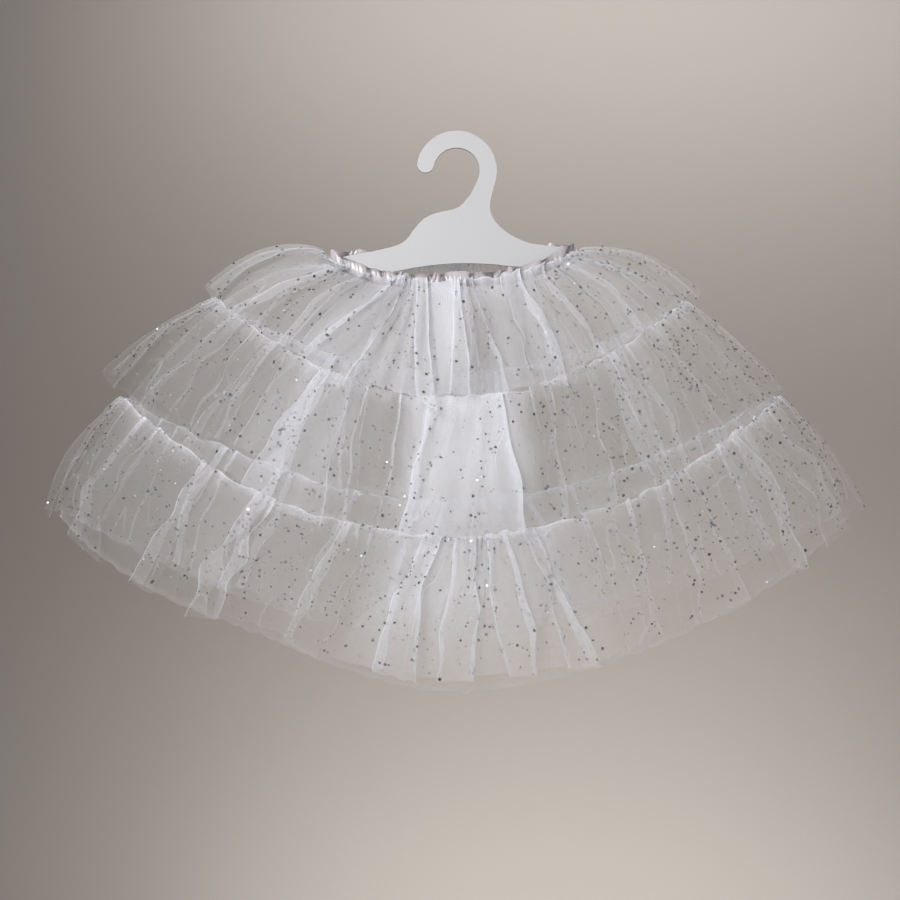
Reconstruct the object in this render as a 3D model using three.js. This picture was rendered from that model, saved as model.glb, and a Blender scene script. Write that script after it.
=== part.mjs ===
// A child's three-tier tutu skirt hung on a flat board hanger.
//
// A gathered satin waistband with elastic inside is hooked round the two arms of the hanger. An underskirt
// of tulle hangs from it, and three gathered tulle ruffles are sewn round the underskirt one below the other,
// each ending just over the seam of the next. All of it is hollow and open at the waist and at the hem.
//
// Millimetres, +Z up. The origin is the top of the inside of the hook, where it rests on a rail or nail.
// The front of the skirt faces -Y, and +X is to the right as one looks at it.

import * as THREE from "three";

// ---- driving sizes ----

const HOOK_INNER_RADIUS = 19;
const HOOK_OUTER_RADIUS = 33;
const HOOK_TIP_ANGLE = 165; // degrees, where the hook's rounded end starts
const HOOK_NECK_ANGLE = -25; // degrees, where the hook runs into the neck
const BOARD_THICKNESS = 3;
const BOARD_TILT = 2.5; // degrees, the right arm hangs higher

const BAND_HEIGHT = 12;
const BAND_THICKNESS = 3.2;
const BAND_GATHERS = 44;
const BAND_RUCHE = 1.5; // how far a gather of the satin stands above the band's edge
const BAND_PUFF = 0.45; // how far a gather swells the band's faces

const TULLE = 1.2; // wall of the net, which stands for its gathered body
const UNDERSKIRT_DROP = 1.4; // from the band's lower edge to the net, which turns out sharply at the sides
const UNDERSKIRT_WAVES = 16;
const UNDERSKIRT_WAVE_HEIGHT = 3; // at the hem
const SEAM_GAP = 0.4; // between the gores of the underskirt, where they are sewn together

const FRONT_CENTRE = 0.25; // places on the ring: 0 is the left side, 0.5 the right side
const BACK_CENTRE = 0.75;
const QUARTER = 0.25;

const radians = THREE.MathUtils.degToRad;
const mix = THREE.MathUtils.lerp;

// ---- the form that the cloth hangs in ----

// Rings of the skirt, one row for each distance along the cloth from the top of the waistband. left, right,
// front and back are the ring's four outermost points. bend is the power by which the ring rises from its
// middle to its sides, and square how boxy it is from above (1 is an ellipse, towards 0 is a rectangle).
const RINGS = [
  // along, leftX, rightX, leftZ, rightZ, frontZ, backZ, frontY, backY, bend, square
  [0, -102, 95, -84, -78, -105, -80, -20, 8, 3, 0.45],
  [12, -103, 96, -96, -90, -117, -92, -23, 10, 3, 0.45],
  [36, -122, 115, -97, -94, -140, -116, -32, 16, 2.6, 0.55],
  [68, -156, 149, -106, -105, -171, -147, -42, 23, 2.3, 0.65],
  [104, -192, 183, -128, -129, -207, -183, -51, 29, 2, 0.7],
  [156, -232, 221, -164, -164, -259, -235, -62, 34, 2, 0.75],
  [212, -268, 258, -207, -206, -314, -290, -72, 38, 2, 0.75],
  [270, -301, 292, -253, -252, -371, -347, -79, 42, 2, 0.75],
  [330, -322, 317, -301, -300, -430, -406, -86, 46, 2, 0.75],
].map(([along, leftX, rightX, leftZ, rightZ, frontZ, backZ, frontY, backY, bend, square]) => {
  return { along, leftX, rightX, leftZ, rightZ, frontZ, backZ, frontY, backY, bend, square };
});

// The ring at a distance along the cloth: each column follows one smooth curve through the rows.
function ringAt(along) {
  const last = RINGS.length - 1;
  let i = 0;
  while (i < last - 1 && along > RINGS[i + 1].along) i++;
  const a = RINGS[i];
  const b = RINGS[i + 1];
  const before = RINGS[Math.max(i - 1, 0)];
  const after = RINGS[Math.min(i + 2, last)];
  const span = b.along - a.along;
  const t = (along - a.along) / span;
  const ring = {};
  for (const column of Object.keys(a)) {
    const slopeA = (span * (b[column] - before[column])) / (b.along - before.along);
    const slopeB = (span * (after[column] - a[column])) / (after.along - a.along);
    ring[column] =
      (1 + 2 * t) * (1 - t) ** 2 * a[column] +
      t * (1 - t) ** 2 * slopeA +
      t * t * (3 - 2 * t) * b[column] +
      t * t * (t - 1) * slopeB;
  }
  return ring;
}

// How far across a ring, from its middle (0) to its side (1), each even step round it comes. Worked out once
// on a ring of typical proportions by adding up its length.
const STEPS = 400;
const TYPICAL_DEPTH = 0.24;
const TYPICAL_SQUARE = 0.7;
const girth = [0];
for (let i = 1; i <= STEPS; i++) {
  const point = (n) => {
    const angle = (n / STEPS) * (Math.PI / 2);
    return [Math.sin(angle), TYPICAL_DEPTH * Math.cos(angle) ** TYPICAL_SQUARE];
  };
  const [x0, y0] = point(i - 1);
  const [x1, y1] = point(Math.min(i, STEPS - 1e-6));
  girth.push(girth[i - 1] + Math.hypot(x1 - x0, y1 - y0));
}

function angleAt(share) {
  const wanted = share * girth[STEPS];
  let i = 1;
  while (i < STEPS && girth[i] < wanted) i++;
  const within = (wanted - girth[i - 1]) / (girth[i] - girth[i - 1]);
  return ((i - 1 + within) / STEPS) * (Math.PI / 2);
}

// A point of the form. around runs from 0 at the left side, over the front, to 0.5 at the right side, and on
// over the back to 1.
function formPoint(around, along) {
  const place = ((around % 1) + 1) % 1;
  const inFront = place <= 2 * FRONT_CENTRE;
  const across = inFront ? (place - FRONT_CENTRE) / QUARTER : (BACK_CENTRE - place) / QUARTER;
  const angle = angleAt(Math.min(Math.abs(across), 1));
  const x = Math.sign(across) * Math.sin(angle);
  const ring = ringAt(along);
  const middleX = (ring.leftX + ring.rightX) / 2;
  const sideZ = (ring.leftZ + ring.rightZ) / 2;
  const middleZ = mix(sideZ, inFront ? ring.frontZ : ring.backZ, 1 - Math.abs(x) ** ring.bend);
  const depth = (inFront ? ring.frontY : ring.backY) * Math.max(Math.cos(angle), 0) ** ring.square;
  return new THREE.Vector3(
    middleX + (x * (ring.rightX - ring.leftX)) / 2,
    depth,
    middleZ + (x * (ring.rightZ - ring.leftZ)) / 2,
  );
}

// The direction straight out of the form at a point, from the slopes round it and along it.
function formNormal(around, along) {
  const step = 0.004;
  const reach = 2;
  const round = formPoint(around + step, along).sub(formPoint(around - step, along));
  const down = formPoint(around, along + reach).sub(formPoint(around, Math.max(along - reach, 0)));
  return down.cross(round).normalize();
}

function offForm(around, along, out) {
  return formPoint(around, along).addScaledVector(formNormal(around, along), out);
}

// What a table of places round the ring gives at one place, eased from each row to the next.
function hangAt(table, around) {
  const place = ((around % 1) + 1) % 1;
  let i = table.length - 1;
  while (table[i].around > place) i--;
  const a = table[i];
  const b = table[(i + 1) % table.length];
  const end = i + 1 < table.length ? b.around : 1;
  const eased = THREE.MathUtils.smoothstep(place, a.around, end);
  const hang = {};
  for (const column of Object.keys(a)) hang[column] = mix(a[column], b[column], eased);
  return hang;
}

// ---- closed solids from grids of points ----

// The two faces of a wall round the skirt. middle is its middle surface as rows of points, top row first, each
// row a closed ring. Each point is moved half the thickness out and half in, square to the surface.
function wallFaces(middle, thickness) {
  const rows = middle.length;
  const columns = middle[0].length;
  const at = (row, column) =>
    middle[THREE.MathUtils.clamp(row, 0, rows - 1)][(column + columns) % columns];
  const face = (side) =>
    middle.map((points, row) =>
      points.map((point, column) => {
        const round = at(row, column + 1).clone().sub(at(row, column - 1));
        const down = at(row + 1, column).clone().sub(at(row - 1, column));
        const out = down.cross(round).normalize();
        return point.clone().addScaledVector(out, (side * thickness) / 2);
      }),
    );
  return [face(1), face(-1)];
}

// The closed solid between two faces of a wall: their rims are joined at the top and at the hem, and the faces
// either run on round the skirt or, for a panel, are joined along its two side edges too.
function wallGeometry([outerFace, innerFace], runsRound) {
  const rows = outerFace.length;
  const columns = outerFace[0].length;
  const positions = [...outerFace.flat(), ...innerFace.flat()].flatMap((point) => point.toArray());
  const outer = (row, column) => row * columns + (column % columns);
  const inner = (row, column) => rows * columns + outer(row, column);
  const index = [];
  const quad = (a, b, c, d) => index.push(a, b, c, a, c, d);
  const strips = runsRound ? columns : columns - 1;
  for (let column = 0; column < strips; column++) {
    for (let row = 0; row + 1 < rows; row++) {
      quad(outer(row, column), outer(row + 1, column), outer(row + 1, column + 1), outer(row, column + 1));
      quad(inner(row, column), inner(row, column + 1), inner(row + 1, column + 1), inner(row + 1, column));
    }
    quad(outer(0, column), outer(0, column + 1), inner(0, column + 1), inner(0, column));
    const hem = rows - 1;
    quad(outer(hem, column), inner(hem, column), inner(hem, column + 1), outer(hem, column + 1));
  }
  if (!runsRound) {
    const last = columns - 1;
    for (let row = 0; row + 1 < rows; row++) {
      quad(outer(row, 0), inner(row, 0), inner(row + 1, 0), outer(row + 1, 0));
      quad(outer(row, last), outer(row + 1, last), inner(row + 1, last), inner(row, last));
    }
  }
  const geometry = new THREE.BufferGeometry();
  geometry.setAttribute("position", new THREE.Float32BufferAttribute(positions, 3));
  geometry.setIndex(index);
  geometry.computeVertexNormals();
  return geometry;
}

// A closed ring of any section: loops is a list of closed loops of points, one for each place round the ring.
function ringGeometry(loops) {
  const count = loops[0].length;
  const positions = loops.flat().flatMap((point) => [point.x, point.y, point.z]);
  const index = [];
  loops.forEach((_, n) => {
    const next = ((n + 1) % loops.length) * count;
    for (let k = 0; k < count; k++) {
      const a = n * count + k;
      const b = n * count + ((k + 1) % count);
      const c = next + ((k + 1) % count);
      const d = next + k;
      index.push(a, b, c, a, c, d);
    }
  });
  const geometry = new THREE.BufferGeometry();
  geometry.setAttribute("position", new THREE.Float32BufferAttribute(positions, 3));
  geometry.setIndex(index);
  geometry.computeVertexNormals();
  return geometry;
}

// ---- materials ----

const whiteBoard = new THREE.MeshStandardMaterial({ color: 0xe4e2e6, roughness: 0.55, metalness: 0 });
const satin = new THREE.MeshStandardMaterial({ color: 0xcdbfc1, roughness: 0.35, metalness: 0 });
const plainNet = new THREE.MeshStandardMaterial({ color: 0xdedcdf, roughness: 0.9, metalness: 0 });
const glitterNet = new THREE.MeshStandardMaterial({ color: 0xe9e8ec, roughness: 0.85, metalness: 0 });

// ---- hanger: one flat board with the hook cut in it ----

// Its outline is drawn about the centre of the hook's round part: over the hook, down the neck, along the
// right arm, back under the arched lower edge to the left arm, and up the left shoulder into the hook again.
const NECK = [[26.6, -26], [26.2, -33.5], [29.4, -42], [37, -50.4]];
const RIGHT_ARM = [[47, -57.2], [58, -61.8], [77, -65.2]];
const RIGHT_END = [[85, -66.4], [89.6, -70.4], [88.6, -75.6], [82, -79]];
const LOWER_EDGE = [[66, -82], [44, -80.2], [20, -77], [-6, -75.6], [-32, -77], [-56, -80.2], [-78, -82]];
const LEFT_END = [[-94, -79], [-101.2, -75.6], [-103, -70.4], [-99, -66.6]];
const LEFT_ARM = [[-84, -64.6], [-64, -61.6], [-51, -58.6], [-43.6, -54.4], [-36.6, -46], [-29.6, -39]];
const SHOULDER_AND_NECK = [[-22, -35], [-12, -32.6], [0, -30], [10, -20.6]];

function hangerOutline() {
  const outline = new THREE.Shape();
  const curve = (points) => outline.splineThru(points.map(([x, y]) => new THREE.Vector2(x, y)));
  const tip = radians(HOOK_TIP_ANGLE);
  const neck = radians(HOOK_NECK_ANGLE);
  const band = HOOK_OUTER_RADIUS - HOOK_INNER_RADIUS;
  const middle = (HOOK_OUTER_RADIUS + HOOK_INNER_RADIUS) / 2;
  outline.moveTo(HOOK_OUTER_RADIUS * Math.cos(tip), HOOK_OUTER_RADIUS * Math.sin(tip));
  outline.absarc(0, 0, HOOK_OUTER_RADIUS, tip, neck, true);
  curve([...NECK, ...RIGHT_ARM]);
  curve(RIGHT_END);
  curve(LOWER_EDGE);
  curve(LEFT_END);
  curve([...LEFT_ARM, ...SHOULDER_AND_NECK]);
  outline.lineTo(HOOK_INNER_RADIUS * Math.cos(neck), HOOK_INNER_RADIUS * Math.sin(neck));
  outline.absarc(0, 0, HOOK_INNER_RADIUS, neck, tip, false);
  outline.absarc(middle * Math.cos(tip), middle * Math.sin(tip), band / 2, tip + Math.PI, tip, true);
  return outline;
}

function makeHanger() {
  const geometry = new THREE.ExtrudeGeometry(hangerOutline(), {
    depth: BOARD_THICKNESS,
    bevelEnabled: false,
    curveSegments: 16,
  });
  geometry.rotateX(Math.PI / 2);
  geometry.translate(0, BOARD_THICKNESS / 2, 0);
  const hanger = new THREE.Mesh(geometry, whiteBoard);
  hanger.name = "hanger";
  hanger.rotation.y = -radians(BOARD_TILT);
  hanger.position.z = -HOOK_INNER_RADIUS;
  return hanger;
}

// ---- waistband: a satin casing gathered on its elastic ----

// Its section is an upright oval. Every second place round it is a gather, which is taller and fatter.
function makeWaistband() {
  const sectionPoints = 8;
  const loops = [];
  const places = 2 * BAND_GATHERS;
  for (let n = 0; n < places; n++) {
    const around = n / places;
    const gather = n % 2;
    const halfHeight = BAND_HEIGHT / 2 - (1 - gather) * (BAND_RUCHE / 2);
    const halfThickness = BAND_THICKNESS / 2 - (1 - gather) * BAND_PUFF;
    const loop = [];
    for (let k = 0; k < sectionPoints; k++) {
      const turn = ((k + 0.5) / sectionPoints) * 2 * Math.PI;
      const along = BAND_HEIGHT / 2 - halfHeight * Math.cos(turn);
      loop.push(offForm(around, along, halfThickness * Math.sin(turn)));
    }
    loops.push(loop);
  }
  const band = new THREE.Mesh(ringGeometry(loops), satin);
  band.name = "waistband";
  return band;
}

// ---- underskirt: the plain tulle that carries the tiers, cut as six flared gores ----

// Where its hem comes along the cloth of the form, at places round the ring.
const UNDERSKIRT_HANG = [
  { around: 0, to: 330 },
  { around: 0.07, to: 326 },
  { around: 0.14, to: 316 },
  { around: 0.25, to: 330 },
  { around: 0.36, to: 327 },
  { around: 0.44, to: 330 },
  { around: 0.5, to: 330 },
  { around: 0.75, to: 330 },
];

const WAVE_COLUMNS = 4; // places round each wave

// The panels that it is sewn from, each from one place of the wall to another.
const GORES = [
  { name: "underskirt_front_left", from: 0, to: 11 },
  { name: "underskirt_front", from: 11, to: 21 },
  { name: "underskirt_front_right", from: 21, to: 32 },
  { name: "underskirt_back_right", from: 32, to: 43 },
  { name: "underskirt_back", from: 43, to: 53 },
  { name: "underskirt_back_left", from: 53, to: 64 },
];

function makeUnderskirt() {
  const top = BAND_HEIGHT + UNDERSKIRT_DROP;
  const rows = [0, 0.07, 0.17, 0.28, 0.44, 0.6, 0.8, 1];
  const columns = UNDERSKIRT_WAVES * WAVE_COLUMNS;
  const middle = rows.map((share) => {
    const row = [];
    for (let column = 0; column < columns; column++) {
      const wave = Math.cos((column / WAVE_COLUMNS) * 2 * Math.PI + 0.6);
      const out = UNDERSKIRT_WAVE_HEIGHT * share ** 2 * wave;
      const around = column / columns;
      const hem = hangAt(UNDERSKIRT_HANG, around).to;
      row.push(offForm(around, mix(top, hem, share), out));
    }
    return row;
  });
  const faces = wallFaces(middle, TULLE);
  return GORES.map((gore) => {
    const panel = faces.map((face) =>
      face.map((points, row) => {
        const cut = [];
        for (let column = gore.from; column <= gore.to; column++) {
          const point = points[column % columns].clone();
          const side = column === gore.from ? 1 : column === gore.to ? -1 : 0;
          const next = middle[row][(column + 1) % columns];
          const before = middle[row][(column - 1 + columns) % columns];
          const round = next.clone().sub(before).normalize();
          cut.push(point.addScaledVector(round, (side * SEAM_GAP) / 2));
        }
        return cut;
      }),
    );
    const mesh = new THREE.Mesh(wallGeometry(panel, false), plainNet);
    mesh.name = gore.name;
    return mesh;
  });
}

// ---- tiers: gathered ruffles of glitter tulle ----

// The flat-topped folds that show across the front of each tier, in percent from the middle (0) to the sides
// (-100 and 100): where each begins and ends at the seam and at the hem, and rise is its height beside the
// tier's usual one. The back has the same folds.
const fold = ([seamFrom, seamTo, hemFrom, hemTo, rise]) => ({ seamFrom, seamTo, hemFrom, hemTo, rise });
const TOP_FOLDS = [
  // seamFrom, seamTo, hemFrom, hemTo, rise
  [-99, -94, -97, -89, 0.8],
  [-84, -78, -81, -72, 0.9],
  [-67, -61, -66, -61.5, 0.8],
  [-43, -35, -57, -37, 1.2],
  [-28, -20, -13, -5, 1],
  [1, 5, -0.5, 7.5, 1.1],
  [9, 14, 12, 22, 0.9],
  [37, 51, 31, 43, 1.2],
  [60, 70, 49, 57, 0.9],
  [78, 82, 65, 74, 1],
  [88, 92, 81, 87, 0.9],
  [95, 98, 92, 97, 0.8],
].map(fold);
const MIDDLE_FOLDS = [
  // seamFrom, seamTo, hemFrom, hemTo, rise
  [-98, -94, -97, -90, 0.8],
  [-84, -79, -84, -77, 1],
  [-69, -64, -71, -64, 0.9],
  [-49, -38, -55, -33, 1.2],
  [-32, -19, -28.5, -18, 0.9],
  [-8, 19, -13, 20, 1.2],
  [30, 38, 25, 31, 1],
  [46, 52, 37, 44, 0.8],
  [60, 68, 56, 64, 1.2],
  [75, 79, 70, 75, 0.9],
  [85, 89, 82, 88, 1],
  [95, 98, 94, 98, 0.8],
].map(fold);
const BOTTOM_FOLDS = [
  // seamFrom, seamTo, hemFrom, hemTo, rise
  [-98, -94, -97, -91, 0.8],
  [-85, -80, -86, -79, 1],
  [-67, -63, -70, -65, 0.9],
  [-51, -46, -58, -51, 1.2],
  [-27, -20, -37, -28, 1.1],
  [-6, -1, -18, -9, 1.2],
  [2, 7, -3.5, 5, 1],
  [10, 14, 11, 19, 1.1],
  [18, 22, 25, 31, 1.2],
  [35, 48, 38, 45, 0.8],
  [58, 63, 54, 64, 1],
  [73, 78, 71, 78, 1.2],
  [84, 88, 83, 88, 1],
  [95, 98, 93, 97, 0.8],
].map(fold);

// How each tier hangs at places round the ring: to is where its hem comes along the cloth of the form, out
// how far the hem stands off the form there, puff how much further the tier stands off half-way down, and
// wave half the height of the folds at the hem.
const TOP_HANG = [
  { around: 0, to: 106, out: 17, puff: 5, wave: 5 },
  { around: 0.08, to: 106, out: 16, puff: 2, wave: 5 },
  { around: 0.25, to: 107, out: 14, puff: 0, wave: 5 },
  { around: 0.42, to: 106, out: 15, puff: 1, wave: 5 },
  { around: 0.5, to: 107, out: 15, puff: 3, wave: 5 },
  { around: 0.75, to: 107, out: 13, puff: 0, wave: 5 },
];
const MIDDLE_HANG = [
  { around: 0, to: 203, out: 28, puff: -3, wave: 5.5 },
  { around: 0.05, to: 210, out: 20, puff: 0, wave: 5.5 },
  { around: 0.13, to: 214, out: 14, puff: 0, wave: 5.5 },
  { around: 0.25, to: 213, out: 14, puff: 0, wave: 5.5 },
  { around: 0.42, to: 213, out: 13, puff: 0, wave: 4.5 },
  { around: 0.5, to: 212, out: 11, puff: -1, wave: 3 },
  { around: 0.58, to: 213, out: 13, puff: 0, wave: 4.5 },
  { around: 0.75, to: 213, out: 13, puff: 0, wave: 5.5 },
  { around: 0.92, to: 210, out: 16, puff: 0, wave: 5.5 },
];
const BOTTOM_HANG = [
  { around: 0, to: 330, out: 9, puff: 5, wave: 5 },
  { around: 0.07, to: 325, out: 12, puff: 3, wave: 5.5 },
  { around: 0.14, to: 312, out: 13, puff: 0, wave: 5.5 },
  { around: 0.25, to: 321, out: 13, puff: 0, wave: 5.5 },
  { around: 0.36, to: 321, out: 13, puff: 0, wave: 5.5 },
  { around: 0.44, to: 328, out: 13, puff: 0, wave: 5.5 },
  { around: 0.5, to: 326, out: 13, puff: -1, wave: 5 },
  { around: 0.75, to: 322, out: 13, puff: 0, wave: 5.5 },
];

// from is the tier's seam along the cloth of the form, start how far its middle stands off the form there,
// and drop how much longer a fold hangs than a hollow.
const TIERS = [
  { name: "tier_top", folds: TOP_FOLDS, hang: TOP_HANG, from: 6, start: 3.4, drop: 6 },
  { name: "tier_middle", folds: MIDDLE_FOLDS, hang: MIDDLE_HANG, from: 104, start: 2.8, drop: 3 },
  { name: "tier_bottom", folds: BOTTOM_FOLDS, hang: BOTTOM_HANG, from: 212, start: 4.3, drop: 4 },
];
const GATHER_HEIGHT = 0.7; // half the height of a fold where it is gathered at the seam

// The columns of a tier: the two edges of each fold, and two places in the hollow before the next one. seam
// and hem are places round the ring, and height runs from -1 in a hollow to about 1 on a fold.
function tierColumns(folds) {
  const edges = [];
  for (const { seamFrom, seamTo, hemFrom, hemTo, rise } of folds) {
    edges.push({ seam: seamFrom, hem: hemFrom, height: rise });
    edges.push({ seam: seamTo, hem: hemTo, height: rise });
  }
  const onFront = (percent) => FRONT_CENTRE + (percent / 100) * QUARTER;
  const front = edges.map((e) => ({ seam: onFront(e.seam), hem: onFront(e.hem), height: e.height }));
  const back = front.map((e) => ({ ...e, seam: 1 - e.seam, hem: 1 - e.hem })).reverse();
  const all = [...front, ...back];
  const columns = [];
  all.forEach((edge, n) => {
    columns.push(edge);
    if (n % 2 === 1) {
      const next = all[(n + 1) % all.length];
      const turn = n + 1 === all.length ? 1 : 0;
      for (const share of [0.32, 0.68]) {
        columns.push({
          seam: mix(edge.seam, next.seam + turn, share),
          hem: mix(edge.hem, next.hem + turn, share),
          height: -1,
        });
      }
    }
  });
  return columns;
}

function makeTier(tier) {
  const rows = [0, 0.1, 0.28, 0.5, 0.75, 1];
  const columns = tierColumns(tier.folds);
  const middle = rows.map((share) =>
    columns.map((column) => {
      const opened = share ** 0.7;
      const around = mix(column.seam, column.hem, opened);
      const hang = hangAt(tier.hang, around);
      const along = mix(tier.from, hang.to, share) + tier.drop * share * Math.max(column.height, 0);
      const risen = Math.sin((share * Math.PI) / 2) ** 0.8;
      const standOff = mix(tier.start, hang.out, risen) + hang.puff * Math.sin(share * Math.PI);
      return offForm(around, along, standOff + mix(GATHER_HEIGHT, hang.wave, opened) * column.height);
    }),
  );
  const ruffle = new THREE.Mesh(wallGeometry(wallFaces(middle, TULLE), true), glitterNet);
  ruffle.name = tier.name;
  return ruffle;
}

// ---- the whole skirt ----

const tutu = new THREE.Group();
tutu.add(makeHanger(), makeWaistband(), ...makeUnderskirt());
tutu.add(...TIERS.map(makeTier));

export default tutu;
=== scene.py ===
"""A child's tutu of white glitter tulle in three tiers, hung by its satin waistband on a board hanger."""

import math
import bpy
import numpy as np
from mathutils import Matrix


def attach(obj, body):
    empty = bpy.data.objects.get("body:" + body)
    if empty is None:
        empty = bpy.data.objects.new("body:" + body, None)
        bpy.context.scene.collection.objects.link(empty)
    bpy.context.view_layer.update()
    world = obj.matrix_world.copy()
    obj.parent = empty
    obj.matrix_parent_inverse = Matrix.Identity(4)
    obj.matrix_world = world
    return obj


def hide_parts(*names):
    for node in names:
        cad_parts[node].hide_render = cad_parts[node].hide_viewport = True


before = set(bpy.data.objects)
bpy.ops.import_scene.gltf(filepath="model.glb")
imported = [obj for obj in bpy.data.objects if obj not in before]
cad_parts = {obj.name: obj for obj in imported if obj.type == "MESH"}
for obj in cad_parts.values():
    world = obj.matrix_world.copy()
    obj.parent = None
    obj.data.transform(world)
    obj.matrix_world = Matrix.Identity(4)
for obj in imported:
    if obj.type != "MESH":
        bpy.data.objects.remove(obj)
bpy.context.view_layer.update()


# ---- hanger ----
# One flat piece of 3 mm wood-fibre board, cut out with its hook and sprayed with a white satin paint, which
# is faintly orange-peeled. The cut edge soaks up more paint, so it is a little rougher and warmer.

FACE_PAINT = (0.47, 0.465, 0.475, 1), (0.5, 0.495, 0.505, 1)
EDGE_PAINT = (0.5, 0.475, 0.44, 1)


class Num:
    """A number or colour in a shader. +, - and * on it add Math nodes."""

    def __init__(self, shader, socket):
        self.shader, self.socket = shader, socket

    def math(self, operation, *values):
        return self.shader.node("Math", {"operation": operation}, dict(enumerate(values)))(0)

    def __add__(self, other):
        return self.math("ADD", self, other)

    def __sub__(self, other):
        return self.math("SUBTRACT", self, other)

    def __rsub__(self, other):
        return self.math("SUBTRACT", other, self)

    def __mul__(self, other):
        return self.math("MULTIPLY", self, other)

    __radd__ = __add__
    __rmul__ = __mul__

    def at_most(self, other):
        return self.math("MINIMUM", self, other)

    def ramp(self, low, high, start=0.0, end=1.0):
        """Eased from start to end as this number goes from low to high."""
        settings = {"interpolation_type": "SMOOTHSTEP"}
        sockets = {0: self, 1: low, 2: high, 3: start, 4: end}
        return self.shader.node("MapRange", settings, sockets)(0)


class Shader:
    """One material. node() adds a node of any type, from its settings, which are set first, and the values
    or links of its sockets, and returns a function that gives an output by its number or name."""

    def __init__(self, name):
        self.material = bpy.data.materials.new(name)
        self.material.use_nodes = True
        self.tree = self.material.node_tree
        self.tree.nodes.clear()

    def node(self, kind, settings=None, sockets=None):
        node = self.tree.nodes.new("ShaderNode" + kind)
        for key, value in (settings or {}).items():
            setattr(node, key, value)
        for key, value in (sockets or {}).items():
            if isinstance(value, Num):
                self.tree.links.new(value.socket, node.inputs[key])
            else:
                node.inputs[key].default_value = value
        return lambda key=0: Num(self, node.outputs[key])

    def noise(self, vector, scale, detail=3.0, roughness=0.55, dimensions="3D"):
        sockets = {"Vector": vector, "Scale": scale, "Detail": detail, "Roughness": roughness}
        return self.node("TexNoise", {"noise_dimensions": dimensions}, sockets)("Fac")

    def stretched(self, vector, across, along, detail=1.0):
        """Flat noise of its own scale across and along the cloth."""
        scaled = self.node("Mapping", None, {"Vector": vector, "Scale": (across, along, 1.0)})("Vector")
        return self.noise(scaled, 1.0, detail, 0.6, "2D")

    def blend(self, first, second, factor):
        """The first colour where factor is 0, the second where it is 1."""
        return self.node("Mix", {"data_type": "RGBA"}, {0: factor, 6: first, 7: second})(2)

    def bump(self, height, distance, strength=1.0):
        sockets = {"Height": height, "Distance": distance, "Strength": strength}
        return self.node("Bump", None, sockets)("Normal")

    def finish(self, surface):
        self.node("OutputMaterial", None, {"Surface": surface})
        return self.material


def board_paint():
    """White paint: a soft mottle, orange peel in its bump, and fibres that show on the cut edge alone."""
    paint = Shader("white_board_paint")
    place = paint.node("TexCoord")("Object")
    mottle = paint.noise(place, 22.0, 4.0)
    peel = paint.noise(place, 900.0, 2.0)
    fibres = paint.noise(place, 2600.0, 2.0)
    normal = paint.node("NewGeometry")("Normal")
    sideways = paint.node("SeparateXYZ", None, {0: normal})("Y")
    edge = 1.0 - sideways.math("ABSOLUTE", sideways).ramp(0.4, 0.8)
    face_colour = paint.blend(*FACE_PAINT, mottle)
    surface = {
        "Base Color": paint.blend(face_colour, EDGE_PAINT, edge * (0.35 + 0.4 * fibres)),
        "Roughness": 0.4 + 0.12 * mottle + 0.2 * edge,
        "Specular IOR Level": 0.4,
        "Normal": paint.bump(peel + 0.6 * edge * fibres, 0.00006, 0.5),
    }
    return paint.finish(paint.node("BsdfPrincipled", None, surface)("BSDF"))


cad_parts["hanger"].material_slots[0].material = board_paint()


# ---- underskirt ----
# The plain tulle that everything is sewn to: a tube of net, gathered into the waistband and open at the hem.
# It hangs in a flattened bell that is spread wide to both sides, and the whole skirt follows that form.

# Rings of the form in millimetres, one row for each distance along the cloth from the top of the waistband:
# along, left x, right x, left z, right z, front z, back z, front y, back y, bend, square. bend is the power
# by which a ring rises from its middle to its sides, and square, from 1 down, how boxy it is from above.
RINGS = np.array([
    (0, -102, 95, -84, -78, -105, -80, -20, 8, 3, 0.45),
    (12, -103, 96, -96, -90, -117, -92, -23, 10, 3, 0.45),
    (36, -122, 115, -97, -94, -140, -116, -32, 16, 2.6, 0.55),
    (68, -156, 149, -106, -105, -171, -147, -42, 23, 2.3, 0.65),
    (104, -192, 183, -128, -129, -207, -183, -51, 29, 2, 0.7),
    (156, -232, 221, -164, -164, -259, -235, -62, 34, 2, 0.75),
    (212, -268, 258, -207, -206, -314, -290, -72, 38, 2, 0.75),
    (270, -301, 292, -253, -252, -371, -347, -79, 42, 2, 0.75),
    (330, -322, 317, -301, -300, -430, -406, -86, 46, 2, 0.75),
])
# A quarter of a ring seen from above, by which steps of even girth are turned into angles.
USUAL_DEPTH, USUAL_SQUARE = 0.24, 0.7
ring_angles = np.linspace(0, np.pi / 2, 401)
ring_depths = USUAL_DEPTH * np.clip(np.cos(ring_angles), 0, 1) ** USUAL_SQUARE
ring_outline = np.stack([np.sin(ring_angles), ring_depths])
ring_girth = np.concatenate([[0], np.cumsum(np.hypot(*np.diff(ring_outline, axis=1)))])


def ring_at(along):
    """Each column of RINGS at the given distances: one smooth curve through the rows, with a row's slope
    taken between the rows on its two sides."""
    stops, columns = RINGS[:, 0], RINGS[:, 1:]
    i = np.clip(np.searchsorted(stops, along, side="left") - 1, 0, len(stops) - 2)
    before, after = np.maximum(i - 1, 0), np.minimum(i + 2, len(stops) - 1)
    span = (stops[i + 1] - stops[i])[..., None]
    t = (along[..., None] - stops[i][..., None]) / span
    first, last = columns[i], columns[i + 1]
    slope_first = span * (last - columns[before]) / (stops[i + 1] - stops[before])[..., None]
    slope_last = span * (columns[after] - first) / (stops[after] - stops[i])[..., None]
    shape = (1 + 2 * t) * (1 - t) ** 2 * first + t * (1 - t) ** 2 * slope_first
    return np.moveaxis(shape + t * t * (3 - 2 * t) * last + t * t * (t - 1) * slope_last, -1, 0)


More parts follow.
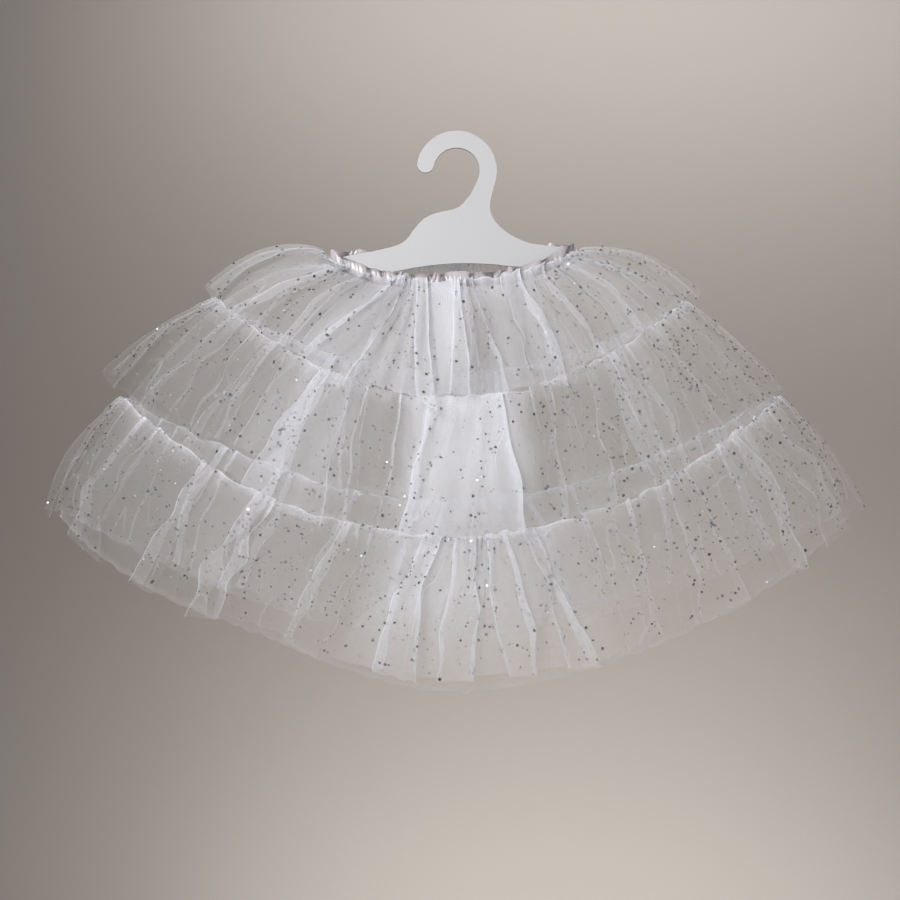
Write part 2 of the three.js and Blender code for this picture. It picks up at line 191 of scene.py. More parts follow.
def form(around, along):
    """Points of the form in millimetres. around runs from 0 at the left side over the front to 0.5 at the
    right side and over the back to 1, in even steps of a ring's girth. A place's angle gives how far across
    it is, by its sine, and how far forward, by its cosine to the power square; its height goes from that of
    the ring's middle to that of its sides by the power bend."""
    place = np.mod(around, 1.0)
    in_front = place <= 0.5
    across = np.where(in_front, (place - 0.25) / 0.25, (0.75 - place) / 0.25)
    angle = np.interp(np.minimum(np.abs(across), 1) * ring_girth[-1], ring_girth, ring_angles)
    x = np.sign(across) * np.sin(angle)
    left_x, right_x, left_z, right_z, front_z, back_z, front_y, back_y, bend, square = ring_at(along)
    side_z = (left_z + right_z) / 2
    middle_z = side_z + (np.where(in_front, front_z, back_z) - side_z) * (1 - np.abs(x) ** bend)
    depth = np.where(in_front, front_y, back_y) * np.clip(np.cos(angle), 0, 1) ** square
    return np.stack([
        (left_x + right_x) / 2 + x * (right_x - left_x) / 2,
        depth,
        middle_z + x * (right_z - left_z) / 2,
    ], axis=-1)


def off_form(around, along, out):
    """Points of the form moved straight out of it by out millimetres: the form's two slopes at the point are
    crossed, and their product, made one long, is the way out."""
    around, along, out = np.broadcast_arrays(around, along, out)
    round_step = form(around + 0.004, along) - form(around - 0.004, along)
    down_step = form(around, along + 2) - form(around, np.maximum(along - 2, 0))
    normal = np.cross(down_step, round_step)
    normal /= np.linalg.norm(normal, axis=-1, keepdims=True)
    return form(around, along) + out[..., None] * normal


def hang_at(table, around):
    """The columns of a table of places round the ring at any place, eased from each row to the next."""
    table = np.array(table, float)
    place = np.mod(around, 1.0)
    i = np.clip(np.searchsorted(table[:, 0], place, side="right") - 1, 0, len(table) - 1)
    after = (i + 1) % len(table)
    end = np.where(after == 0, 1.0, table[after, 0])
    t = (place - table[i, 0]) / (end - table[i, 0])
    eased = (t * t * (3 - 2 * t))[..., None]
    return np.moveaxis(table[i, 1:] * (1 - eased) + table[after, 1:] * eased, -1, 0)


def ripple(u, lowest, highest, seed, waves=9):
    """A smooth random wave that closes on itself once round: a sum of cosines of u, each with a whole number
    of waves from lowest to highest and a size and a turn of its own, of about unit size on the whole."""
    draw = np.random.default_rng(seed)
    counts = draw.integers(lowest, highest + 1, waves)
    sizes = draw.uniform(0.5, 1, waves)
    turns = draw.uniform(0, 2 * np.pi, waves)
    cosines = zip(sizes, counts, turns)
    total = sum(size * np.cos(2 * np.pi * count * u + turn) for size, count, turn in cosines)
    return total / np.sqrt((sizes**2).sum() / 2) / 1.4


def cloth_mesh(name, points, material, cloth, fields):
    """A mesh of a grid of points in millimetres, rows down and columns round, closed round. cloth is each
    point's place across and down the flat cloth in metres, for the UV map, and the cloth's whole width.
    fields are numbers at the points, for the shader."""
    rows, columns = points.shape[:2]
    row, column = np.meshgrid(np.arange(rows - 1), np.arange(columns), indexing="ij")
    after = (column + 1) % columns
    corners = [(row, column), (row + 1, column), (row + 1, after), (row, after)]
    faces = np.stack([r * columns + c for r, c in corners], axis=-1).reshape(-1, 4)
    mesh = bpy.data.meshes.new(name)
    mesh.from_pydata((points.reshape(-1, 3) / 1000).tolist(), [], faces.tolist())
    across, down, width = cloth
    across = np.concatenate([across, across[:, :1] + width], axis=1)
    down = np.concatenate([down, down[:, :1]], axis=1)
    ends = [(row, column), (row + 1, column), (row + 1, column + 1), (row, column + 1)]
    uv = np.stack([np.stack([across[r, c], down[r, c]], axis=-1) for r, c in ends], axis=2)
    mesh.uv_layers.new(name="cloth").data.foreach_set("uv", uv.reshape(-1).astype(np.float32))
    for field, values in fields.items():
        attribute = mesh.attributes.new(field, "FLOAT", "POINT")
        attribute.data.foreach_set("value", values.reshape(-1).astype(np.float32))
    mesh.polygons.foreach_set("use_smooth", np.ones(len(faces), bool))
    mesh.materials.append(material)
    mesh.update()
    piece = bpy.data.objects.new(name, mesh)
    bpy.context.collection.objects.link(piece)
    return piece


def tulle(name, tint):
    """Net of fine nylon thread: pale threads that pass some light on, and clear holes between them. The field
    cover is the share of light that the net stops. It is streaked along the cloth, and is more on creases,
    which are lines where a stretched noise comes near its middle, on crinkles where the field crumpled asks
    for them, and on the threads, which edge irregular cells of about a millimetre."""
    net = Shader(name)
    flat = net.node("UVMap", {"uv_map": "cloth"})("UV")
    cover = net.node("Attribute", {"attribute_name": "cover"})("Fac")
    crumpled = net.node("Attribute", {"attribute_name": "crumpled"})("Fac")
    streak = net.stretched(flat, 45.0, 14.0, 2.0)
    crease = net.stretched(flat, 26.0, 6.0, 1.0) - 0.5
    worn = net.stretched(flat, 13.0, 11.0).ramp(0.48, 0.62)
    crease = (1.0 - crease.math("ABSOLUTE", crease).ramp(0.002, 0.009)) * worn
    crinkle = net.stretched(flat, 95.0, 75.0, 2.0) - 0.5
    crinkle = (1.0 - crinkle.math("ABSOLUTE", crinkle).ramp(0.005, 0.04)) * crumpled
    edges = {"feature": "DISTANCE_TO_EDGE", "voronoi_dimensions": "2D"}
    cells = net.node("TexVoronoi", edges, {"Vector": flat, "Scale": 950.0})
    thread = 1.0 - cells("Distance").ramp(0.05, 0.16)
    stopped = cover * (0.7 + 0.6 * streak) + 0.15 * crease + 0.16 * crinkle
    alpha = (stopped * (0.78 + 0.5 * thread)).at_most(0.97)
    threads = net.node("BsdfPrincipled", None, {
        "Base Color": (*tint, 1),
        "Roughness": 0.62,
        "Specular IOR Level": 0.35,
        "Sheen Weight": 0.15,
    })("BSDF")
    passing = net.node("BsdfTranslucent", None, {"Color": (*tint, 1)})(0)
    lit = net.node("MixShader", None, {0: 0.48, 1: threads, 2: passing})(0)
    clear = net.node("BsdfTransparent")(0)
    return net.finish(net.node("MixShader", None, {0: alpha, 1: clear, 2: lit})(0))


# Distances along the cloth in millimetres of the waist seam and of the two seams that hold the lower tiers.
WAIST_SEAM, MIDDLE_SEAM, BOTTOM_SEAM = 13.4, 104, 212
# Where the underskirt's hem comes along the form, at places round the ring.
UNDERSKIRT_HANG = [
    (0, 330), (0.07, 326), (0.14, 316), (0.25, 330), (0.36, 327), (0.44, 330), (0.5, 330), (0.75, 330),
]
UNDERSKIRT_LENGTH = 0.317
PLAIN_TINT = (0.86, 0.88, 0.93)


def around_length(row):
    """Length in metres of a closed row of points in millimetres."""
    return float(np.linalg.norm(np.roll(row, -1, axis=0) - row, axis=1).sum()) / 1000


def underskirt():
    """Rows down the form from the waist seam to the hem. Out of the form it has sixteen long waves that grow
    with the square of the way down, crumples that stop short of the two tiers' seams, and fine gathers that
    die out below the waist. Returns the piece and its cut, a strip as wide as the hem is long."""
    u = np.linspace(0, 1, 900, endpoint=False)[None, :]
    share = (np.linspace(0, 1, 46) ** 1.15)[:, None]
    along = WAIST_SEAM + (hang_at(UNDERSKIRT_HANG, u)[0] + 0.9 * ripple(u, 40, 110, 1) - WAIST_SEAM) * share
    below = along - WAIST_SEAM
    to_seam = np.minimum(abs(along - MIDDLE_SEAM), abs(along - BOTTOM_SEAM))
    loose = np.clip(to_seam / 14, 0, 1) * np.clip(below / 60, 0, 1)
    out = 3 * share**2 * np.cos(2 * np.pi * 16 * u + 0.6)
    out = out + 1.6 * ripple(u, 110, 210, 2) * np.exp(-below / 90)
    out = out + loose * (0.9 * ripple(u + 0.02 * share, 14, 50, 3))
    jitter = 0.0012 * ripple(u, 60, 120, 4) * np.exp(-below / 30)
    points = off_form(u + jitter, along, out)
    cover = 0.045 + 0.25 * np.exp(-below / 10) + 0.1 * np.exp(-((to_seam / 3) ** 2))
    cover = cover + 0.1 * np.exp(-(1 - share) * 316 / 1.2) + 0 * u
    crumpled = np.clip(np.exp(-below / 12) + np.exp(-((to_seam / 6) ** 2)), 0, 1) + 0 * u
    cut = around_length(points[-1]), UNDERSKIRT_LENGTH
    cloth = u * cut[0] + 0 * share, share * cut[1] + 0 * u, cut[0]
    fields = {"cover": cover, "crumpled": crumpled}
    return cloth_mesh("underskirt_net", points, tulle("plain_tulle", PLAIN_TINT), cloth, fields), cut


underskirt_net, underskirt_cut = underskirt()
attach(underskirt_net, "root")
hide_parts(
    "underskirt_front_left", "underskirt_front", "underskirt_front_right",
    "underskirt_back_right", "underskirt_back", "underskirt_back_left",
)


# ---- tiers ----
# Three ruffles of glitter tulle, each a long strip gathered along its top edge and sewn round the underskirt.
# The net springs out of its seam in a soft head and stands in flat-topped pleats whose edges double back.

TOP_SEAM = 6
# Pleats across the front, in percent from the middle to the sides: where each begins and ends at the seam and
# at the hem, rise (its height), left and right (how much cloth is doubled under its two edges at the hem), body
# (extra net gathered in it) and fall (millimetres that its right corner hangs lower, or its left if below 0).
TOP_PLEATS = [
    (-99, -94, -97, -89, 0.8, 1, 0.5, 0, 1), (-84, -78, -81, -72, 0.9, 1.2, 0.3, 0.02, 1),
    (-67, -61, -66, -61.5, 0.8, 1, 0.4, 0.02, 1), (-43, -35, -57, -37, 1.2, 1.5, 2, 0.16, 12),
    (-28, -20, -13, -5, 1, 0.8, 2, 0.1, 15), (1, 5, -0.5, 7.5, 1.1, 0.8, 1, 0.44, 1),
    (9, 14, 12, 22, 0.9, 0.4, 1.6, 0.05, 1), (37, 51, 31, 43, 1.2, 0.5, 3, 0.12, 9),
    (60, 70, 49, 57, 0.9, 0.4, 1.5, 0, 1), (78, 82, 65, 74, 1, 0.4, 1.2, 0, 1),
    (88, 92, 81, 87, 0.9, 1, 0.6, 0, 1), (95, 98, 92, 97, 0.8, 0.8, 1, 0, 1),
]
MIDDLE_PLEATS = [
    (-98, -94, -97, -90, 0.8, 1, 0.6, 0, 1), (-84, -79, -84, -77, 1, 0.6, 0.8, 0.02, 1),
    (-69, -64, -71, -64, 0.9, 1.2, 0.3, 0.03, 1), (-49, -38, -55, -33, 1.2, 7, 1.2, 0.18, 7),
    (-32, -19, -28.5, -18, 0.9, 0.5, 1, 0.02, 1), (-8, 19, -13, 20, 1.2, 2.5, 2, 0.5, 3),
    (30, 38, 25, 31, 1, 0.3, 1.2, 0, 1), (46, 52, 37, 44, 0.8, 0.4, 0.3, 0, 1),
    (60, 68, 56, 64, 1.2, 4, 1, 0.05, -10), (75, 79, 70, 75, 0.9, 0.3, 0.8, 0.01, 1),
    (85, 89, 82, 88, 1, 0.6, 0.5, 0, 1), (95, 98, 94, 98, 0.8, 0.8, 1, 0, 1),
]
BOTTOM_PLEATS = [
    (-98, -94, -97, -91, 0.8, 0.8, 1, 0, 1), (-85, -80, -86, -79, 1, 1, 0.5, 0, 1),
    (-67, -63, -70, -65, 0.9, 2, 0.4, 0.02, 1), (-51, -46, -58, -51, 1.2, 3, 2, 0.08, -7),
    (-27, -20, -37, -28, 1.1, 2, 0.3, 0.02, 3), (-6, -1, -18, -9, 1.2, 2, 1.2, 0.34, 3),
    (2, 7, -3.5, 5, 1, 1, 1, 0.3, 2), (10, 14, 11, 19, 1.1, 0.8, 1.5, 0.2, 2),
    (18, 22, 25, 31, 1.2, 1, 2.5, 0.17, 3), (35, 48, 38, 45, 0.8, 0.4, 1, 0.02, 1),
    (58, 63, 54, 64, 1, 1.4, 0.8, 0.02, 2), (73, 78, 71, 78, 1.2, 0.5, 2.5, 0.03, 4),
    (84, 88, 83, 88, 1, 1.6, 0.5, 0.01, 1), (95, 98, 93, 97, 0.8, 1, 0.8, 0, 1),
]
# How a tier hangs at places round the ring: place, where its hem comes along the form, how far the hem stands
# off the form, how much further the tier stands off half-way down, and half the height of the pleats.
TOP_HANG = [
    (0, 106, 17, 5, 5), (0.08, 106, 16, 2, 5), (0.25, 107, 14, 0, 5),
    (0.42, 106, 15, 1, 5), (0.5, 107, 15, 3, 5), (0.75, 107, 13, 0, 5),
]
MIDDLE_HANG = [
    (0, 203, 28, -3, 5.5), (0.05, 210, 20, 0, 5.5), (0.13, 214, 14, 0, 5.5), (0.25, 213, 14, 0, 5.5),
    (0.42, 213, 13, 0, 4.5), (0.5, 212, 11, -1, 3), (0.58, 213, 13, 0, 4.5), (0.75, 213, 13, 0, 5.5),
    (0.92, 210, 16, 0, 5.5),
]
BOTTOM_HANG = [
    (0, 330, 9, 5, 5), (0.07, 325, 12, 3, 5.5), (0.14, 312, 13, 0, 5.5), (0.25, 321, 13, 0, 5.5),
    (0.36, 321, 13, 0, 5.5), (0.44, 328, 13, 0, 5.5), (0.5, 326, 13, -1, 5), (0.75, 322, 13, 0, 5.5),
]
# Half the height in millimetres of the pleats at the seam and at a typical hem, how far the head stands above
# the seam, how high on the waistband it may reach, and the share of a tier that is its head.
GATHER_HEIGHT, PLEAT_HEIGHT = 0.7, 5.5
HEAD_HEIGHT, HEAD_TOP, HEAD_SHARE = 4.0, 1.2, 0.085
GLITTER_TINT = (0.92, 0.93, 0.98)
# A tier's node, pleats, hang and seam, how far its seam stands off the form, its columns of points, its seed,
# the share of light that its flat net stops, and the extra share stopped where it is bunched at the seam.
TIERS = [
    ("tier_top", TOP_PLEATS, TOP_HANG, TOP_SEAM, 3.4, 1400, 11, 0.19, 0.75),
    ("tier_middle", MIDDLE_PLEATS, MIDDLE_HANG, MIDDLE_SEAM, 2.8, 1500, 31, 0.075, 0.42),
    ("tier_bottom", BOTTOM_PLEATS, BOTTOM_HANG, BOTTOM_SEAM, 4.3, 1700, 51, 0.065, 0.42),
]


def pleat_path(pleats):
    """Corners of the cloth's path round the ring, in order along the cloth: for each pleat the inner crease
    under its first edge, its two outer creases, and the inner crease under its last edge. The back repeats
    the front's pleats mirrored. Columns: place at the seam, place at the hem, height, body, crease, fall."""
    corners = []
    for seam_from, seam_to, hem_from, hem_to, rise, left, right, body, fall in pleats:
        squeeze = 0.8 * min(1, (seam_to - seam_from) / (hem_to - hem_from))
        lines = [0.12 + 0.88 * min(doubled / 2, 1) for doubled in (left, right)]
        falls = (0.15 * fall, fall) if fall > 0 else (-fall, -0.15 * fall)
        corners += [
            (seam_from + left * squeeze, hem_from + left, -1, body, 0.15 * lines[0], -1.5),
            (seam_from, hem_from, rise, body, lines[0], falls[0]),
            (seam_to, hem_to, rise, body, lines[1], falls[1]),
            (seam_to - right * squeeze, hem_to - right, -1, body, 0.15 * lines[1], -1.5),
        ]
    front = np.array(corners, float)
    front[:, :2] = 0.25 + front[:, :2] / 100 * 0.25
    back = front[::-1].copy()
    back[:, :2] = 1 - back[:, :2]
    return np.concatenate([front, back])


def tier(name, pleats, hang, seam, start, columns, seed, thin, bunched, material):
    """A ruffle, in rows from its seam to its hem and columns along the cloth's path, closer at the creases. A
    column goes from its place at the seam to its place at the hem by the power 0.7 of the way down, with two
    ripples sideways. Down the form it runs from the seam to the hem's level, with a head that arches over the
    seam, corners that fall and a rippled hem. Out of the form it is the sum of the stand-off, the path's
    height times half the pleats' height, soft crumples and fine gathers below the seam. cover is the flat
    net, the body of the pleats, the bunched seam and the creases. Returns the piece, its points and its cut."""
    path = pleat_path(pleats)
    closed = np.concatenate([path, path[:1]])
    closed[-1, :2] += 1
    front_hem = hang_at(hang, np.array([0.25]))[0][0]
    hem_ring = form(np.linspace(0, 1, 400), np.full(400, front_hem))
    perimeter = np.linalg.norm(np.diff(hem_ring, axis=0), axis=1).sum()
    steps = np.hypot(np.diff(closed[:, 1]) * perimeter, np.diff(closed[:, 2]) * PLEAT_HEIGHT)
    stations = np.concatenate([[0], np.cumsum(steps)])
    width = stations[-1]

    def to_crease(walk):
        """How far along the cloth each crease is from each point of a walk along it, the shorter way."""
        gap = np.abs(walk[:, None] - stations[None, :-1])
        return np.minimum(gap, width - gap)

    even = np.linspace(0, width, 12001)
    crowding = 1 + 5 * np.exp(-((to_crease(even[1:]).min(axis=1) / 3) ** 2))
    closeness = np.concatenate([[0], np.cumsum(crowding)])
    walk = np.interp(np.linspace(0, closeness[-1], columns, endpoint=False), closeness, even)
    seam_place, hem_place, height, body, _, fall = (np.interp(walk, stations, column) for column in closed.T)
    for _ in range(3):
        height = (np.roll(height, 1) + 2 * height + np.roll(height, -1)) / 4
        fall = (np.roll(fall, 1) + 2 * fall + np.roll(fall, -1)) / 4
    draw = np.random.default_rng(seed)
    strength = path[:, 4] * draw.uniform(0.5, 1, len(path))
    crease = (strength * np.exp(-((to_crease(walk) / 0.9) ** 2))).max(axis=1)
    u = (walk / width)[None, :]
    share = np.concatenate([[0, 0.012, 0.03, 0.055], np.linspace(HEAD_SHARE, 1, 24)])[:, None]
    opened = share**0.7

    around = seam_place * (1 - opened) + hem_place * opened
    around = around + 0.0035 * ripple(hem_place, 8, 22, seed + 6) * np.sin(1.3 * np.pi * share)
    around = around + 0.0016 * ripple(hem_place + 0.05 * share, 15, 60, seed + 7) * np.sin(np.pi * share)
    to, out, puff, wave = hang_at(hang, around)

    below = (to - seam) * share
    along = seam + below + fall * share**2 + 0.5 * ripple(u, 90, 240, seed + 1) * share**6
    along = along + 2.0 * ripple(hem_place, 6, 20, seed + 12) * share**3
    uneven = 1.3 * ripple(hem_place, 2, 9, seed + 8) + 1.1 * ripple(u, 45, 110, seed + 11)
    along = along + uneven * (1 - share) ** 12
    head = np.clip(share / HEAD_SHARE, 0, 1)
    proud = 0.35 + 0.65 * np.clip(height, 0, 1)
    along = np.maximum(along - HEAD_HEIGHT * proud * np.sin(np.pi * head) * (head < 1), HEAD_TOP)

    risen = np.sin(share * np.pi / 2) ** 0.8
    stand_off = start + (out - start) * risen + puff * np.sin(share * np.pi)
    stand_off = stand_off + 1.8 * proud * np.sin(np.pi * np.clip(share / 0.2, 0, 1))
    folds = (GATHER_HEIGHT * (1 - opened) + wave * opened) * height
    crumple = 1.2 * ripple(u + 0.01 * share, 25, 80, seed + 2) * np.clip(below / 40, 0, 1)
    gathers = 0.6 * ripple(u, 150, 300, seed + 3, 14) * np.exp(-below / 11)
    around = around + 0.0009 * ripple(u, 120, 260, seed + 4) * np.exp(-below / 40)
    points = off_form(around, along, stand_off + folds + crumple + gathers)

    bundle = np.clip(ripple(u, 60, 160, seed + 5, 14), -0.5, 1.2)
    sideways = np.abs(np.sin((around - 0.25) * 2 * np.pi)) ** 8
    veil = thin * (1 + 0.5 * ripple(hem_place + 0.02 * share, 3, 16, seed + 9)) * (1 - 0.75 * sideways * share)
    cover = np.clip(veil, 0.02, 1) + body * (1 - 0.65 * share**4) + 0.08 * bundle * np.exp(-below / 20)
    cover = cover + bunched * np.exp(-below / 5) + 0.2 * np.exp(-((below / 1.3) ** 2))
    cover = cover + 0.5 * crease * (1 - 0.3 * share)
    cover = cover + 0.03 * np.exp(-(1 - share) * (to - seam))
    crumpled = np.clip(np.exp(-below / 7) + 0.2 * np.clip(ripple(hem_place, 9, 30, seed + 10), 0, 1), 0, 1)
    cut = width / 1000, float((to[-1] - seam).mean()) / 1000 + 0.003
    cloth = u * cut[0] + 0 * share, share * cut[1] + 0 * u, cut[0]
    fields = {"cover": np.clip(cover, 0.02, 0.9), "crumpled": crumpled}
    return cloth_mesh(name, points, material, cloth, fields), points, cut


glitter_tulle = tulle("glitter_tulle", GLITTER_TINT)
ruffles = {}
for node, *details in TIERS:
    ruffle, surface, cut = tier(node + "_ruffle", *details, glitter_tulle)
    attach(ruffle, "root")
    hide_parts(node)
    ruffles[node] = surface, cut


# ---- glitter ----
# Six-sided flakes of silvered film, which are glued all over the three ruffles before they are cut, so that
# they lie on folds and flat net alike. Most are dull, and a few take a lighter copy of the film, a painted
# glint.

# Cloth to one flake in square millimetres, the share of flakes that take the lighter film, a painted glint, how
# far in millimetres a flake lies off the cloth's middle, and half its thickness.
MM2_PER_FLAKE, PAINTED_GLINT_SHARE = 102, 0.025
LIFT, HALF_THICKNESS = 0.15, 0.07


def flakes(name, surface, cut, seed, materials):
    """Flat six-sided double cones at random places of a ruffle, even over its cloth. Each has a middle, a
    normal of its own that leans a little off the cloth's, six corners round it at its radius, and two tips a
    hair off its plane."""
    draw = np.random.default_rng(seed)
    count = int(cut[0] * cut[1] * 1e6 / MM2_PER_FLAKE)
    rows, columns = surface.shape[:2]
    lengths = np.linalg.norm(np.diff(surface, axis=0), axis=2).mean(axis=1)
    way_down = np.concatenate([[0], np.cumsum(lengths)]) / lengths.sum()
    row = np.interp(draw.random(count), way_down, np.arange(rows))
    row = np.minimum(row, rows - 1.001)
    top = row.astype(int)
    widths = np.linalg.norm(np.roll(surface[-1], -1, axis=0) - surface[-1], axis=1)
    column = draw.choice(columns, count, p=widths / widths.sum())
    following = (column + 1) % columns
    part = (row - top)[:, None]
    middle = surface[top, column] * (1 - part) + surface[top + 1, column] * part
    down = surface[top + 1, column] - surface[top, column]
    along = surface[top, following] - surface[top, column]
    middle = middle + along * draw.random((count, 1))
    normal = np.cross(down, along)
    normal /= np.linalg.norm(normal, axis=1, keepdims=True) + 1e-9
    normal += draw.normal(0, 0.25, normal.shape)
    normal /= np.linalg.norm(normal, axis=1, keepdims=True)
    side = np.cross(normal, draw.normal(size=normal.shape))
    side /= np.linalg.norm(side, axis=1, keepdims=True)
    other = np.cross(normal, side)
    radius = np.clip(draw.lognormal(-0.36, 0.46, count), 0.32, 1.4)[:, None, None]
    corner = np.arange(6)
    turn = corner / 6 * 2 * np.pi
    rim = side[:, None, :] * np.cos(turn)[None, :, None] + other[:, None, :] * np.sin(turn)[None, :, None]
    middle = middle + normal * LIFT
    tips = np.stack([normal, -normal], axis=1) * HALF_THICKNESS
    points = np.concatenate([rim * radius, tips], axis=1) + middle[:, None, :]
    upper = np.stack([corner, (corner + 1) % 6, np.full(6, 6)], axis=1)
    lower = np.stack([(corner + 1) % 6, corner, np.full(6, 7)], axis=1)
    faces = np.concatenate([upper, lower])[None] + 8 * np.arange(count)[:, None, None]
    mesh = bpy.data.meshes.new(name)
    mesh.from_pydata((points.reshape(-1, 3) / 1000).tolist(), [], faces.reshape(-1, 3).tolist())
    for material in materials:
        mesh.materials.append(material)
    # Flakes with index 1 get the lighter film, a painted glint.
    kind = np.repeat((draw.random(count) < PAINTED_GLINT_SHARE).astype(np.int32), 12)
    mesh.polygons.foreach_set("material_index", kind)
    mesh.update()
    piece = bpy.data.objects.new(name, mesh)
    bpy.context.collection.objects.link(piece)
    return piece


def film(name, dark, light, roughness):
    """Silvered film: metal whose tone differs from flake to flake."""
    foil = Shader(name)
    place = foil.node("TexCoord")("Object")
    tone = foil.noise(place, 260.0, 1.0)
    darkest, lightest = (dark, dark, dark * 1.04, 1), (light, light, light * 1.05, 1)
    surface = {
        "Base Color": foil.blend(darkest, lightest, tone.ramp(0.35, 0.65)),
        "Metallic": 0.55,
        "Roughness": roughness + 0.1 * tone,
    }
    return foil.finish(foil.node("BsdfPrincipled", None, surface)("BSDF"))


# The lighter film is a lit copy of the dull one: a painted glint.
films = [film("silver_film_dull", 0.08, 0.3, 0.6), film("silver_film_painted_glint", 0.5, 0.7, 0.4)]
for number, (node, (surface, cut)) in enumerate(ruffles.items()):
    glitter = flakes(node + "_glitter", surface, cut, 71 + number, films)
    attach(glitter, "root")


# ---- waistband ----
# A casing of blush-grey satin gathered on narrow elastic. It is stretched over the two ends of the hanger,
# sags in front of it, and ruches into round-backed folds with sharp valleys.

# The band's middle along the form and its half sizes in millimetres, and the satin in metres round the waist
# and round the band's own section.
BAND_MIDDLE, BAND_HALF_HEIGHT, BAND_HALF_THICKNESS = 6, 5.7, 1.35
SATIN_GIRTH, SATIN_AROUND = 0.43, 0.03
# SATIN_PAINTED_SHADE is painted shade: the satin is darkened where the valleys between its ruches would be
# shaded.
SATIN, SATIN_PAINTED_SHADE = (0.5, 0.455, 0.47, 1), (0.1, 0.085, 0.09, 1)


def ruches(u, spacing, seed):
    """A row of humps with sharp valleys between them, at random widths: the sine of the share of the way
    across a hump, to a power of its own that makes it lean. Returns the height from 0 to 1 and the hump's
    random size at each place."""
    draw = np.random.default_rng(seed)
    count = int(round(1 / spacing))
    edges = np.concatenate([[0], np.cumsum(draw.uniform(0.3, 1.9, count))])
    edges /= edges[-1]
    sizes = 0.1 + 0.9 * draw.uniform(0, 1, count) ** 1.4
    leans = draw.uniform(-1, 1, count)
    place = np.mod(u, 1.0)
    i = np.clip(np.searchsorted(edges, place, side="right") - 1, 0, count - 1)
    across = (place - edges[i]) / (edges[i + 1] - edges[i])
    return np.sin(np.pi * across ** 2.0 ** leans[i]) ** 0.7, sizes[i]


def waistband(material):
    """An upright oval section carried round the top of the form: the cosine of a turn is how far up it is,
    and the sine how far out. The humps push its faces out, and its upper edge up, by their own sizes, and
    small creases run across them."""
    u = np.linspace(0, 1, 1200, endpoint=False)[None, :]
    turn = np.linspace(0, 2 * np.pi, 29)[:, None]
    upright = -np.cos(turn)
    hump, size = ruches(u + 0.006 * upright * np.sin(u * 97), 0.031, 5)
    small = ruches(u - 0.002 * upright, 0.0075, 6)[0]
    swell = 1.5 * (hump * size - 0.35) + 0.4 * (small - 0.5)
    half_thickness = BAND_HALF_THICKNESS + 0.7 * swell * np.abs(np.sin(turn))
    rise = 3.6 * (hump**2 * size - 0.25) + 0.4 * (small - 0.5)
    along = BAND_MIDDLE + upright * BAND_HALF_HEIGHT - rise * np.clip(-upright, 0, 1) ** 2
    points = off_form(u + 0 * turn, np.maximum(along, -1.5), np.sin(turn) * half_thickness)
    # valley is how deep each place lies between humps. The satin uses it for painted shade and a little extra
    # roughness.
    valley = 1 - hump * (0.4 + 0.6 * size)
    cloth = u * SATIN_GIRTH + 0 * turn, turn / (2 * np.pi) * SATIN_AROUND + 0 * u, SATIN_GIRTH
    return cloth_mesh("satin_waistband", points, material, cloth, {"valley": valley})


def blush_satin():
    """Satin: a smooth weave with long floats, which gleams along its folds; shade is painted into its valleys,
    and a random stain into its tone.
    """
    satin = Shader("blush_satin")
    flat = satin.node("UVMap", {"uv_map": "cloth"})("UV")
    valley = satin.node("Attribute", {"attribute_name": "valley"})("Fac")
    weave = satin.node("Mapping", None, {"Vector": flat, "Scale": (900.0, 5200.0, 1.0)})("Vector")
    floats = satin.noise(weave, 1.0)
    stain = satin.noise(flat, 60.0)
    # Painted shade in the valleys, with a random stain on top.
    painted_shade_and_stain = (valley.ramp(0.25, 0.9) * 0.85 + 0.35 * stain).at_most(1.0)
    surface = {
        "Base Color": satin.blend(SATIN, SATIN_PAINTED_SHADE, painted_shade_and_stain),
        "Roughness": 0.2 + 0.1 * floats + 0.12 * valley,
        "Specular IOR Level": 0.7,
        "Sheen Weight": 0.1,
        "Sheen Roughness": 0.4,
        "Normal": satin.bump(floats, 0.00003, 0.6),
    }
    return satin.finish(satin.node("BsdfPrincipled", None, surface)("BSDF"))


satin_waistband = waistband(blush_satin())
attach(satin_waistband, "root")
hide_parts("waistband")


# ---- studio ----
# A pale warm sweep behind and below, a soft window light from the upper left and a weak fill from the right.
# Two lights lift the wall above and below the skirt, one lifts the floor in front, and one from behind shows
# the net's edges.

PAPER = (0.5, 0.45, 0.405, 1), (0.52, 0.47, 0.425, 1)
SKIRT_MIDDLE = (0, 0, -0.25)


def sweep():
    """A plain sheet: flat floor, a quarter circle, then an upright wall."""
    floor_z, wall_y, radius, half_width = -1.25, 2.1, 0.7, 4.0
    bend = np.linspace(0, np.pi / 2, 24)
    y = np.concatenate([[-3.5], wall_y - radius + radius * np.sin(bend), [wall_y]])
    z = np.concatenate([[floor_z], floor_z + radius - radius * np.cos(bend), [2.6]])
    across = np.array([-half_width, half_width])
    points = np.stack(np.broadcast_arrays(across[None, :], y[:, None], z[:, None]), axis=-1).reshape(-1, 3)
    first = 2 * np.arange(len(y) - 1)
    faces = np.stack([first, first + 1, first + 3, first + 2], axis=1)
    mesh = bpy.data.meshes.new("sweep")
    mesh.from_pydata(points.tolist(), [], faces.tolist())
    mesh.polygons.foreach_set("use_smooth", np.ones(len(faces), bool))
    paper = Shader("warm_paper")
    grain = paper.noise(paper.node("TexCoord")("Object"), 240.0)
    surface = {"Base Color": paper.blend(*PAPER, grain), "Roughness": 0.9, "Specular IOR Level": 0.1}
    mesh.materials.append(paper.finish(paper.node("BsdfPrincipled", None, surface)("BSDF")))
    sheet = bpy.data.objects.new("sweep", mesh)
    bpy.context.collection.objects.link(sheet)
    return sheet


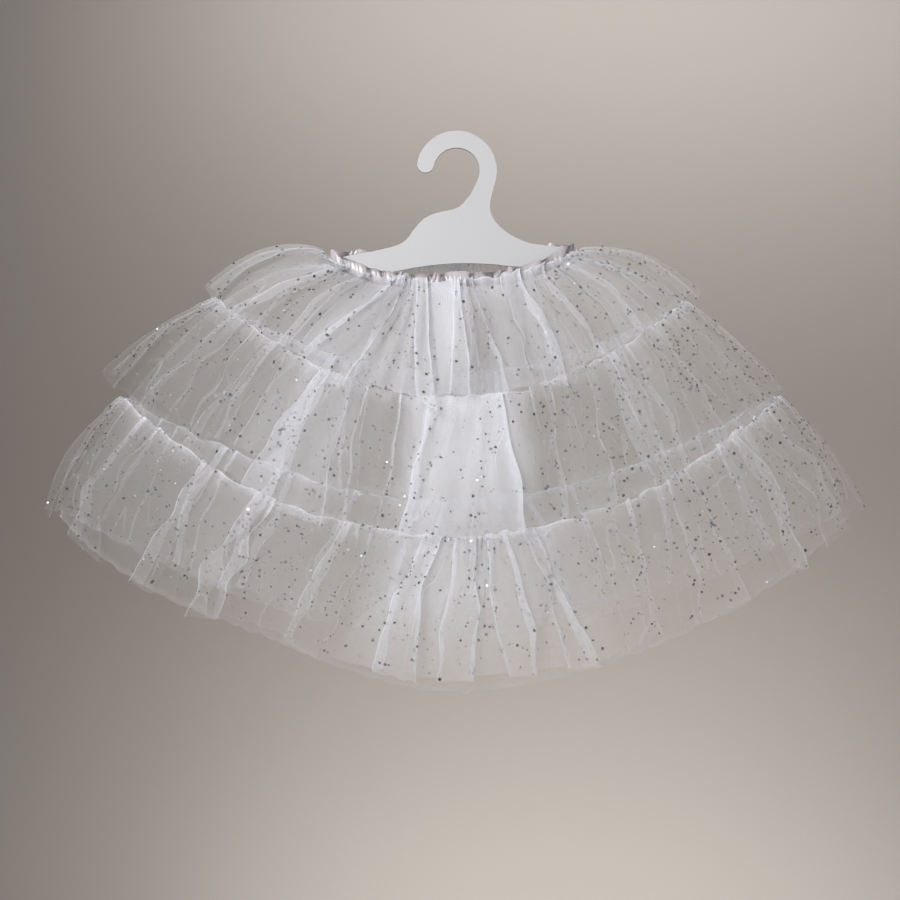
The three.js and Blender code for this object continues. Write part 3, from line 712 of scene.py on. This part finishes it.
def softbox(name, place, aim, size, watts, colour, spread=180):
    """A rectangular light at a place, turned to face aim. spread is the angle that its light fans out by."""
    light = bpy.data.lights.new(name, "AREA")
    light.spread = math.radians(spread)
    light.shape, light.size, light.size_y = "RECTANGLE", size[0], size[1]
    light.energy, light.color = watts, colour
    lamp = bpy.data.objects.new(name, light)
    lamp.location = place
    x, y, z = np.array(aim) - np.array(place)
    pitch, heading = math.atan2(z, math.hypot(x, y)), math.atan2(y, x)
    lamp.rotation_euler = (math.pi / 2 + pitch, 0, heading - math.pi / 2)
    lamp.visible_camera = False
    bpy.context.collection.objects.link(lamp)


sweep()
softbox("window", (-0.7, -1.1, 0.5), SKIRT_MIDDLE, (0.7, 0.7), 9.8, (1.0, 0.995, 0.99), 110)
softbox("fill", (1.3, -1.8, 0.1), SKIRT_MIDDLE, (1.6, 1.6), 8, (0.97, 0.98, 1.0))
softbox("upper_wall_light", (0.4, 1.1, 0.95), (0.45, 2.1, 0.85), (2.1, 0.5), 7.0, (0.99, 0.99, 1.0), 120)
softbox("lower_wall_light", (0.3, 1.0, -0.9), (0.3, 2.1, -1.3), (1.6, 0.3), 4.2, (0.99, 0.99, 1.0), 110)
softbox("back_light", (-0.9, 1.2, 0.7), SKIRT_MIDDLE, (0.5, 0.5), 3, (0.98, 0.99, 1.0))
softbox("floor_light", (0.5, -2.5, 1.2), (0.5, -2.3, -1.25), (2.0, 1.6), 14, (1.0, 0.99, 0.98), 120)

world = bpy.data.worlds.new("room")
world.use_nodes = True
background = world.node_tree.nodes["Background"].inputs
background["Color"].default_value = (0.91, 0.94, 1.0, 1)
background["Strength"].default_value = 0.23
bpy.context.scene.world = world
bpy.context.scene.view_settings.view_transform = "Standard"
bpy.context.scene.cycles.transparent_max_bounces = 64

lens = bpy.data.cameras.new("camera")
lens.lens = 53.66
camera = bpy.data.objects.new("camera", lens)
camera.location = (-0.00533, -1.1, -0.2476)
camera.rotation_euler = (math.pi / 2, 0, 0)
bpy.context.collection.objects.link(camera)
bpy.context.scene.camera = camera
